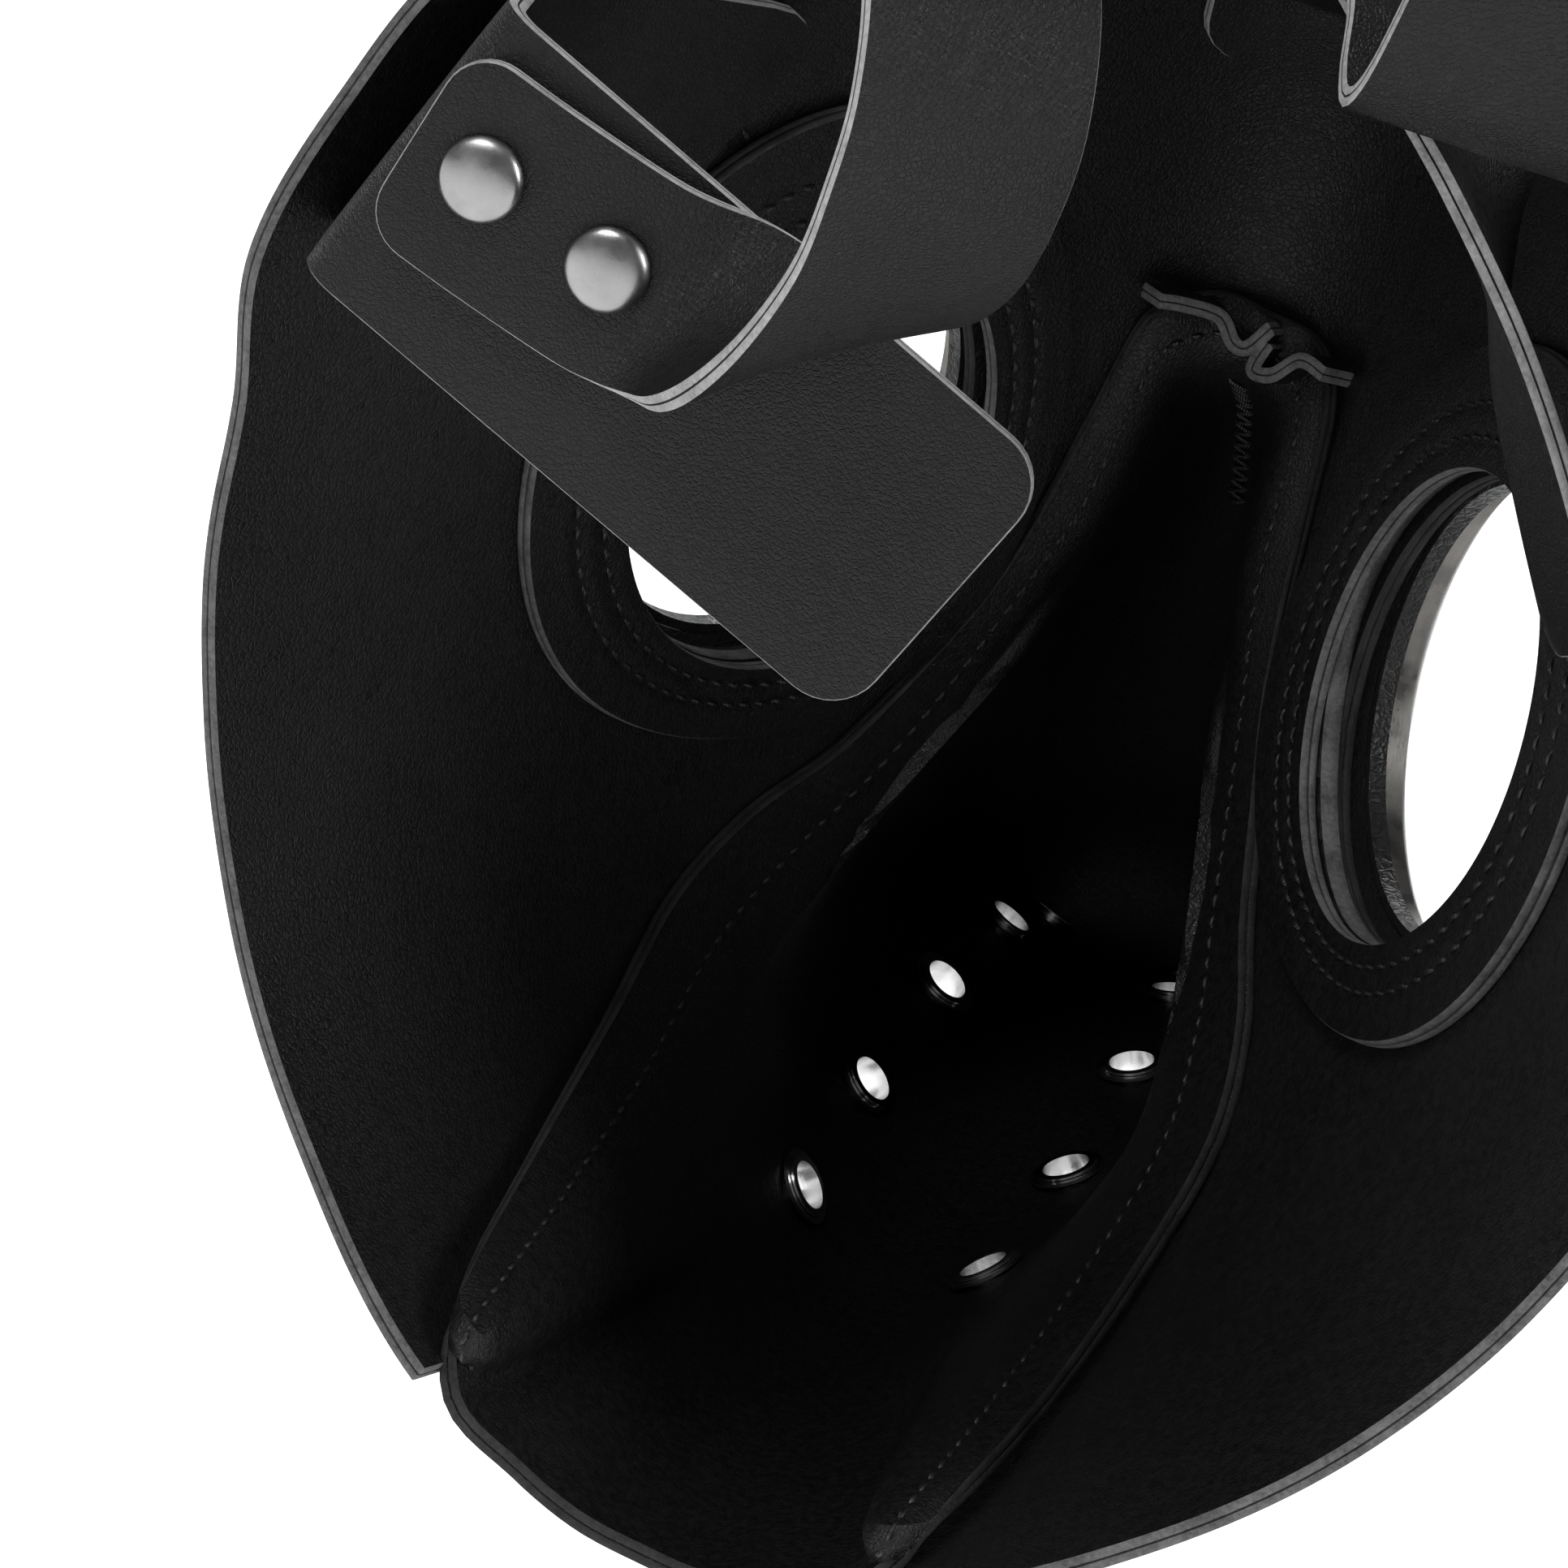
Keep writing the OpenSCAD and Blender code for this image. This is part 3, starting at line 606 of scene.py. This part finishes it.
ROOF = [(60, 13), (90, -8), (124, -34), (156, -62), (187, -95), (214, -134), (236, -172)]
FLOOR = [(-2, -115), (38, -111), (78, -103), (115, -98), (152, -106), (190, -132), (226, -176)]
HALF = [30, 34, 34, 31, 26, 18, 7]
PINCH = [0.5, 0.34, 0.22, 0.13, 0.07, 0.03, 0]
ANGLES = [0, 8, 17, 29, 41, 53, 66, 80, 94, 108, 121, 133, 142, 150, 160, 170, 180]
THROAT = [(25.5, -85.5, -96), (16, -83.5, -102), (8, -81, -106), (0, -80, -107)]
VENT = 13


def station(k, a):
    roof, low = np.array(ROOF[k], float), np.array(FLOOR[k], float)
    mid, half = (roof + low) / 2, (roof - low) / 2
    ca, sa = math.cos(math.radians(a)), math.sin(math.radians(a))
    pinch = 1 - PINCH[k] * min(1, max(0, (ca + 0.3) / 0.75))
    return (HALF[k] * sa * pinch, mid[0] + half[0] * ca, mid[1] + half[1] * ca)


def sunk(p, extra=0.0):
    return on_face(p[0], p[1], GAP + LEATHER / 2 + extra)


def around(half):
    return [tuple(p) for p in half] + [(-p[0], p[1], p[2]) for p in list(half)[-2:0:-1]]


def beak_rows():
    lap = [sunk(LAP[i], max(0, i - 9) * 0.9) for i in range(13)]
    neck = []
    for i in range(13):
        p = [LAP[i][k] + (NOSE[i][k] - LAP[i][k]) * 1.12 for k in (0, 1)]
        neck.append(sunk(p, max(0, i - 9) * 0.7))
    free = []
    for i in range(4):
        q = station(0, ANGLES[VENT + i])
        free.append([THROAT[i][k] + (q[k] - THROAT[i][k]) * 0.25 for k in range(3)])
    rows = [around(lap + THROAT), around(neck + free)]
    rows += [around([station(k, a) for a in ANGLES]) for k in range(7)]
    return np.array(rows, float)


def closed_spline(p, n):
    """Smooth closed curve through p."""
    p = np.asarray(p, float)
    k = len(p)
    out = []
    for i in range(k):
        a, b, c, d = p[i - 1], p[i], p[(i + 1) % k], p[(i + 2) % k]
        for j in range(n):
            out.append(bend(a, b, c, d, j / n))
    return np.array(out)


COARSE = beak_rows()
FINE_ROWS = 12
BEAK = spline(COARSE, FINE_ROWS)


def beak_at(row, col):
    i = int(row)
    i = min(i, len(BEAK) - 2)
    return BEAK[i, col] * (1 - row + i) + BEAK[i + 1, col] * (row - i)


def eyelet(i):
    """Centre and outward axis of vent eyelet i on the right side."""
    row = (2.45 + i * 34 / 38.5) * FINE_ROWS
    c = beak_at(row, VENT)
    along = beak_at(row + 2, VENT) - beak_at(row - 2, VENT)
    turn = beak_at(row, VENT + 1) - beak_at(row, VENT - 1)
    return c, unit(np.cross(turn, along))


def beak():
    g = np.array([closed_spline(row, 5) for row in BEAK])
    tip = g[-1].mean(0)
    ahead = unit(tip - g[-6].mean(0))
    for k, push in ((0.93, 0.9), (0.75, 1.7), (0.45, 2.2), (0.15, 2.4)):
        g = np.concatenate([g, (tip + (g[len(BEAK) - 1] - tip) * k + ahead * push)[None]])
    n = normals(g, wrap=True)
    rows, cols = g.shape[:2]
    # the raw edge stands off the bridge in small waves
    edge = np.clip(1 - np.arange(rows) / (FINE_ROWS * 0.9), 0, 1) ** 1.3
    turn = np.abs(((np.arange(cols) + cols / 2) % cols) - cols / 2)
    bridge = np.exp(-(turn / 13.0) ** 4)
    wave = 1.1 + 1.25 * np.sin(np.arange(cols) * 2 * math.pi / cols * 17 + 0.8)
    lift = edge[:, None] * (bridge * np.maximum(wave, 0))[None]
    side = on_face(0.0, 30.0, 3.0) - face(0.0, 30.0)
    g = g + unit(side) * lift[..., None]
    seam = [g[FINE_ROWS:-4, 0]]
    front = g - n * (LEATHER / 2)
    back = g + n * (LEATHER / 2)
    hub = g[40].mean(0)
    outward = g[40, 0] - hub
    if (front[40, 0] - hub) @ outward >= (back[40, 0] - hub) @ outward:
        front, back = back, front
        n = -n
    front = dented(front, -n, seam, 0.5, 0.9)
    back = dented(back, n, seam, 0.6, 1.0)
    lap = [g[int(FINE_ROWS * 0.62)]]
    front = dented(front, -n, lap, 0.3, 0.9)
    obj = slab("beak_leather", front, back, BEAK_SHEET, wrap=True, close=True)
    holes = []
    for i in range(6):
        c, axis = eyelet(i)
        for s in (-1, 1):
            holes.append((c * (s, 1, 1), axis * (s, 1, 1), 4.1, 5))
    drill(obj, holes)
    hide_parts("beak_shell")
    return g, n


def beak_seams():
    g, n = beak()
    cols = g.shape[1]
    row = int(FINE_ROWS * 0.62)
    path, nn = g[row], -n[row]
    for tag, sel in (("right", list(range(6, 63))), ("left", list(range(cols - 63, cols - 6)))):
        p = path[sel] + nn[sel] * (LEATHER / 2 - 0.28)
        o = stitches(f"lap_stitches_{tag}", p, nn[sel], pitch=3.0, long=2.2, r=0.34)
    bridge = list(range(cols - 9, cols)) + list(range(0, 10))
    p = path[bridge] + nn[bridge] * (LEATHER / 2 - 0.28)
    o = stitches("bridge_stitches", p, nn[bridge], pitch=3.0, long=2.2, r=0.36)
    # the two edges of the rolled sheet meet along the roof and are laced together
    roof, rn = g[FINE_ROWS + 2:FINE_ROWS * 3, 0], -n[FINE_ROWS + 2:FINE_ROWS * 3, 0]
    pts, where = evenly(roof, 2.0)
    nr = unit(np.stack([np.interp(where, np.arange(len(rn)), rn[:, k]) for k in range(3)], 1))
    for tag, flip in (("inside", 1), ("outside", -1)):
        zig = []
        for k in range(len(pts)):
            x = 1.9 if k % 2 else -1.9
            zig.append(pts[k] + np.array([x, 0, 0]) + flip * nr[k] * (LEATHER / 2))
        zig = np.array(zig)
        verts, faces = [], []
        for k in range(len(zig) - 1):
            a, b = zig[k], zig[k + 1]
            base = len(verts)
            t = unit(b - a)
            nn = unit(nr[k] * flip - t * (nr[k] * flip).dot(t))
            s = np.cross(t, nn)
            for q in range(6):
                f = q / 5
                c = a + (b - a) * f + nn * (0.35 - 1.0 * (2 * f - 1) ** 4)
                for w in range(6):
                    an = math.pi * w / 3
                    verts.append(c + (s * math.cos(an) + nn * math.sin(an)) * 0.34)
            for q in range(5):
                for w in range(6):
                    a, u = base + q * 6, (w + 1) % 6
                    faces.append((a + w, a + u, a + 6 + u, a + 6 + w))
            faces += [tuple(base + w for w in reversed(range(6))), tuple(base + 30 + w for w in range(6))]
        o = piece(f"roof_lacing_{tag}", verts, faces, [THREAD])


beak_seams()

# ---------------------------------------------------------------- straps

WIDE, NARROW = 35.0, 22.5
FOLD_R = 2.5
FOLD_MID = FOLD_R + LEATHER / 2
TEMPLE = (-67.1, -91.6, 38.8)
DROOP, TOE_IN = 21, 9       # how far the side straps hang down and lean in
OPEN = 95.0                 # how far open the right strap is drawn
CROWN_AT = np.array([2.0, -6.0, 84.0])
CROWN_HEADING = -70


def rot(axis, deg):
    return np.array(Matrix.Rotation(math.radians(deg), 3, axis))


def temple(side, swing=0.0):
    """Maps the fold's frame at a temple to the mask."""
    m = rot("Z", TOE_IN) @ rot("Y", DROOP) @ rot("Z", swing)

    def go(p):
        p = np.asarray(p, float) @ m.T + np.array(TEMPLE)
        return p * (-1 if side > 0 else 1, 1, 1)
    return go


def crown_frame(p):
    m = rot("X", 90) @ rot("Y", CROWN_HEADING)
    return np.asarray(p, float) @ m.T + CROWN_AT


def ends(total, width, r, step, start=True, end=True):
    """Stations along a strap with rounded corners: place along it, and half width there."""
    out = []
    arc = np.linspace(0, math.pi / 2, 9)
    if start:
        out += [(r - r * math.cos(a), width / 2 - r + r * math.sin(a)) for a in arc]
    else:
        out.append((0.0, width / 2))
    a0, a1 = out[-1][0], total - (r if end else 0)
    k = max(2, int((a1 - a0) / step))
    out += [(a0 + (a1 - a0) * i / k, width / 2) for i in range(1, k + 1)]
    if end:
        out += [(total - r + r * math.sin(a), width / 2 - r + r * math.cos(a)) for a in arc[1:]]
    return out


def strap_grid(path, widths, width, r=5.0, step=1.1, start=True, end=True, cols=20):
    """Grid of a strap along a fine path of centre points with width directions."""
    path, widths = np.asarray(path, float), np.asarray(widths, float)
    d = np.r_[0, np.cumsum(np.linalg.norm(np.diff(path, axis=0), axis=1))]
    rows = []
    for s, h in ends(d[-1], width, r, step, start, end):
        c = np.array([np.interp(s, d, path[:, k]) for k in range(3)])
        w = unit(np.array([np.interp(s, d, widths[:, k]) for k in range(3)]))
        rows.append([c + w * h * x for x in np.linspace(-1, 1, cols)])
    return np.array(rows)


def strap(name, grid, body):
    n = normals(grid)
    across = np.linspace(-1, 1, grid.shape[1])[None, :, None]
    puff = n * (LEATHER / 2 - 0.18 + 0.18 * (1 - across ** 6))
    obj = slab(name, grid + puff, grid - puff, BAND, body=body)
    return obj


def side_anchor(side, tag, swing):
    """Tab, fold and swinging part as one strap."""
    still, moved = temple(side), temple(side, swing)
    flip = np.array([-1 if side > 0 else 1, 1, 1])
    ks = np.linspace(-0.5, 0.5, 20)
    rows = []
    lean = math.radians(6)
    d = np.array([-math.sin(lean), math.cos(lean), 0])
    o = np.array([-math.cos(lean), -math.sin(lean), 0])

    def free(q):
        return still(np.array([(0, 0, k * WIDE) for k in ks]) + d * q + o * FOLD_MID)

    def sewn(s, shrink=1.0):
        dz = ks * WIDE * shrink * math.cos(math.radians(DROOP))
        return on_face(s - 0.34 * dz, 40.8 + dz, GAP + LEATHER / 2 + 0.4) * (-1, 1, 1) * flip

    rounded = [(57.2, 0.72), (57.8, 0.84), (58.6, 0.92), (59.8, 0.98)]
    for s, w in rounded + [(61.5 + 1.5 * k, 1) for k in range(8)]:
        rows.append(sewn(s, w))
    control = [rows[-2], rows[-1], sewn(73.5) * 0.65 + free(17) * 0.35, sewn(75) * 0.25 + free(14) * 0.75]
    control += [free(q) for q in (11, 7, 3, 0)]
    smooth = spline(np.array(control).reshape(len(control), -1), 7).reshape(-1, len(ks), 3)
    rows += list(smooth[8:])
    # the fold itself, from the tab to wherever the swinging part points
    a0, a1 = 186.0, 270.0 + swing
    for k in range(1, 12):
        a = math.radians(a0 + (a1 - a0) * k / 12)
        arc = np.array([math.cos(a), math.sin(a), 0]) * FOLD_MID
        rows.append(still(np.array([(0, 0, q * WIDE) for q in ks]) + arc))
    for s, h in ends(68.4, WIDE, 6.0, 1.3, start=False):
        rows.append(moved([(s + 0.3, -FOLD_MID, x * h) for x in np.linspace(-1, 1, len(ks))]))
    grid = np.array(rows)
    obj = strap(f"anchor_{tag}", grid, None)
    e = np.array([1, 0, 0.0]) @ rot("Z", swing).T - d
    e = e if np.linalg.norm(e) > 0.3 else -d * 2
    centre, m = still([0, 0, 0]), (still(e) - still([0, 0, 0]))
    k = FOLD_MID / (np.linalg.norm(e) ** 2) if abs(swing) < 45 else 0.7
    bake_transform(obj)
    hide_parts(f"anchor_tab_{tag}", f"anchor_strap_{tag}")


side_anchor(-1, "left", 0.0)
side_anchor(1, "right", -OPEN)

MID = -FOLD_R - LEATHER * 1.5 - GAP
LEFT = [(-3, MID, 2), (0.5, MID, 2.3), (9, MID, 3), (20, MID, 4.3), (25, MID - 0.2, 5.4), (30.5, -8.2, 7.6),
        (35.5, -13, 10), (40, -18.5, 14), (43, -25, 20.5), (43.5, -32, 29.5), (41.5, -38.5, 38.5),
        (38, -42.5, 47.5), (31.5, -44, 57), (21, -39.5, 66), (9, -31, 73)]
LEFT_W = [(-0.1, 0, 1), (-0.1, 0, 1), (-0.1, 0, 1), (-0.12, 0, 1), (-0.1, 0, 1), (0, 0.15, 0.98),
          (0.22, 0.28, 0.92), (0.46, 0.4, 0.78), (0.64, 0.46, 0.6), (0.73, 0.49, 0.46), (0.78, 0.48, 0.4),
          (0.78, 0.48, 0.4), (0.74, 0.52, 0.42), (0.68, 0.58, 0.44), (0.6, 0.62, 0.48)]
RIGHT = [(0.5, MID, 2.3), (9, MID, 3), (20, MID, 4.3), (27, MID - 0.1, 5), (38, -8, 6), (54, -13, 6),
         (70, -20, 4), (86, -29, 0), (101, -40, -6)]
RIGHT_W = [(-0.08, 0, 1)] * 4
RIGHT_W += [(-0.06, 0, 1), (-0.02, 0, 1), (0.05, 0.03, 1), (0.15, 0.08, 1), (0.25, 0.15, 1)]
for side, tag, path, w, swing in ((-1, "left", LEFT, LEFT_W, 0.0), (1, "right", RIGHT, RIGHT_W, -OPEN)):
    go = temple(side, swing)
    centre = spline(path, 14)
    wide = spline([unit(np.array(v, float)) for v in w], 14)
    grid = strap_grid(centre, wide, NARROW)
    obj = strap(f"strap_{tag}_leather", go(grid), f"strap_{tag}")
    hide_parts(f"head_strap_{tag}")

CROWN = [(0.3, FOLD_MID, 0), (16, FOLD_MID, 0), (32, FOLD_MID, 0), (48, FOLD_MID + 0.5, -0.5),
         (58, 5, -1.2), (67, 4.5, -2), (74, 0.5, -3), (78, -4.5, -3.5), (81.6, -7, -4), (85.2, -4.5, -4.4),
         (87.6, 2, -4.7), (89.6, 13, -5), (91, 27, -5)]
UNDER_Y = FOLD_R - GAP - LEATHER / 2
UNDER = [(9, UNDER_Y, 5), (20, UNDER_Y, 3.8), (31, UNDER_Y, 2.6), (37, UNDER_Y - 0.9, 1.6), (43, -2.5, -1.2),
         (48, -9, -6), (51, -18, -11), (54, -31, -19), (57, -44, -28), (61, -58, -37)]
UNDER_W = [(0.1, 0, 1)] * 3
UNDER_W += [(0.12, 0, 1), (0.22, 0.05, 0.97), (0.4, 0.1, 0.8), (0.7, 0.2, 0.5), (0.9, 0.3, 0.2)]
UNDER_W += [(0.93, 0.34, 0.1)] * 2


def crown_anchor():
    ks = np.linspace(-0.5, 0.5, 20)
    turn = rot("Z", CROWN_HEADING)

    def free(z):
        return np.array([(-FOLD_MID, y, z) for y in ks * WIDE]) @ turn.T + CROWN_AT

    def sewn(z, shrink=1.0):
        return on_face(ks * WIDE * shrink, np.full(len(ks), float(z)), GAP + LEATHER / 2)

    rows = [sewn(62.0, 0.74), sewn(62.5, 0.85), sewn(63.3, 0.93), sewn(64.5, 0.98)]
    rows += [sewn(66), sewn(68), sewn(70)]
    control = [sewn(70), sewn(73), sewn(75) * 0.7 + free(-8) * 0.3, sewn(77) * 0.3 + free(-5.5) * 0.7]
    control += [free(-2.5), free(0)]
    smooth = spline(np.array(control).reshape(len(control), -1), 6).reshape(-1, len(ks), 3)
    rows += list(smooth[1:])
    for k in range(1, 10):
        a = math.radians(180 - 90 * k / 10)
        rows.append(crown_frame([(math.cos(a) * FOLD_MID, math.sin(a) * FOLD_MID, -q * WIDE) for q in ks]))
    centre = spline(CROWN, 12)
    g = strap_grid(centre, np.repeat([[0, 0, -1.0]], len(centre), 0), WIDE, step=1.3, start=False)
    grid = np.concatenate([np.array(rows), crown_frame(g)])
    obj = strap("anchor_crown", grid, None)
    a, b = crown_frame([-1.9, -1.9, 0]), crown_frame([1.9, 1.9, 0])
    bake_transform(obj)
    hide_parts("anchor_tab_crown", "anchor_strap_crown")
    under = strap_grid(spline(UNDER, 14), spline([unit(np.array(v, float)) for v in UNDER_W], 14), NARROW)
    obj = strap("crown_strap_leather", crown_frame(under), "strap_crown")
    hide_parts("crown_strap")


crown_anchor()

# ---------------------------------------------------------------- rivets

SPOTS = [(5, 3.1), (20.5, 4.5)]
CROWN_SPOTS = [(13, 4.6), (28.5, 2.8)]
STACK = 2 * LEATHER + GAP
CAP = [(0, 1.95), (0.9, 1.93), (1.8, 1.85), (2.6, 1.72), (3.2, 1.55), (3.7, 1.34), (4.1, 1.05),
       (4.36, 0.72), (4.48, 0.4), (4.46, 0.18), (4.3, 0.06), (4.0, 0.02), (2, 0.02)]
FOOT = [(2, -0.06), (3.6, -0.06), (3.9, -0.25), (3.95, -0.55), (3.8, -0.9), (3.4, -1.12), (2.8, -1.2),
        (1.6, -1.22), (1.1, -0.9), (0.6, -0.8), (0, -0.8)]


def rivets(name, node, body, place, spots):
    """Cap rivets: low domes with a rolled rim, and a dimpled foot behind the straps."""
    verts, faces = [], []
    outline = [(r, STACK + 0.1 + h) for r, h in CAP] + FOOT
    sides = 64
    for u, w in spots:
        base = len(verts)
        for r, h in outline:
            for k in range(sides):
                a = 2 * math.pi * k / sides
                verts.append(place(u + max(r, 0.01) * math.cos(a), h, w + max(r, 0.01) * math.sin(a)))
        for i in range(len(outline) - 1):
            for k in range(sides):
                a, q = base + i * sides, (k + 1) % sides
                faces.append((a + k, a + q, a + sides + q, a + sides + k))
        faces.append(tuple(base + k for k in range(sides)))
        faces.append(tuple(base + (len(outline) - 1) * sides + k for k in reversed(range(sides))))
    obj = piece(name, verts, faces, [RIVET], body=body, crease=60)
    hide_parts(node)


for side, tag, swing in ((-1, "left", 0.0), (1, "right", -OPEN)):
    go = temple(side, swing)
    rivets(f"cap_rivets_{tag}", f"rivets_{tag}", f"strap_{tag}",
           lambda x, h, z: go([(x, -FOLD_R - h, z)])[0], SPOTS)
rivets("cap_rivets_crown", "rivets_crown", "strap_crown",
       lambda x, h, z: crown_frame([(x, FOLD_R - GAP - LEATHER + h, z)])[0], CROWN_SPOTS)

# ---------------------------------------------------------------- puckered edges at the bridge

FLAP_HALF = LEATHER * 0.42
FLAPS = {"left": [(-16, 28.5), (-12.5, 28.8), (-6.5, 28.6), (-2.5, 26), (1, 26), (4.5, 29.6)],
         "right": [(5, 27.6), (3.8, 23.6), (8, 24), (12, 27.6), (16.5, 27.6)]}
for tag, line in FLAPS.items():
    sz = spline(line, 10)
    low, high = on_face(sz[:, 0], sz[:, 1], 2.3), on_face(sz[:, 0], sz[:, 1] + 0.6, 7.0)
    grid = low[:, None] + (high - low)[:, None] * np.linspace(0, 1, 9)[None, :, None]
    flap = sheet(f"bridge_flap_{tag}", grid, -FLAP_HALF, FLAP_HALF, [BLACK, BLACK, RIM_EDGE, GLUE])

# ---------------------------------------------------------------- finish on the CAD parts

LOOKS = {"goggle_tube": TUBE, "goggle_bezel": BEZEL, "lens_retainer": TUBE, "lens": GLASS,
         "eyelets": NICKEL, "eyelet_washers": NICKEL}
for name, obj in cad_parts.items():
    look = LOOKS.get(name.removesuffix("_left").removesuffix("_right"))
    if look:
        obj.data.materials.clear()
        obj.data.materials.append(look)

# ---------------------------------------------------------------- studio


def floor():
    m, _, b = shader("studio_floor")
    b.inputs["Base Color"].default_value = (0.92, 0.92, 0.92, 1)
    b.inputs["Roughness"].default_value = 0.9
    b.inputs["Emission Color"].default_value = (1, 1, 1, 1)
    b.inputs["Emission Strength"].default_value = 0.9
    low = cad_box[0][2] - 0.004
    mesh = bpy.data.meshes.new("studio_floor")
    mesh.from_pydata([(-9, -9, low), (9, -9, low), (9, 9, low), (-9, 9, low)], [], [(0, 1, 2, 3)])
    mesh.materials.append(m)
    obj = bpy.data.objects.new("studio_floor", mesh)
    scene.collection.objects.link(obj)


def light(name, where, aim, size, power):
    data = bpy.data.lights.new(name, "AREA")
    data.shape, data.size, data.size_y, data.energy = "RECTANGLE", size[0], size[1], power
    obj = bpy.data.objects.new(name, data)
    scene.collection.objects.link(obj)
    obj.location = where
    obj.rotation_euler = (Vector(aim) - Vector(where)).to_track_quat("-Z", "Y").to_euler()


floor()
light("key", (-0.5, -0.75, 1.15), (0, 0, -0.03), (0.7, 0.5), 11)
light("side", (1.1, -0.3, 0.6), (0, -0.02, 0), (0.35, 0.7), 8)
light("back", (-0.2, 1.3, 0.7), (0, 0, 0), (0.8, 0.5), 9)
world = bpy.data.worlds.new("studio")
scene.world = world
world.use_nodes = True
world.node_tree.nodes["Background"].inputs["Color"].default_value = (1, 1, 1, 1)
world.node_tree.nodes["Background"].inputs["Strength"].default_value = 0.2
scene.view_settings.view_transform = "Standard"
scene.view_settings.look = "None"
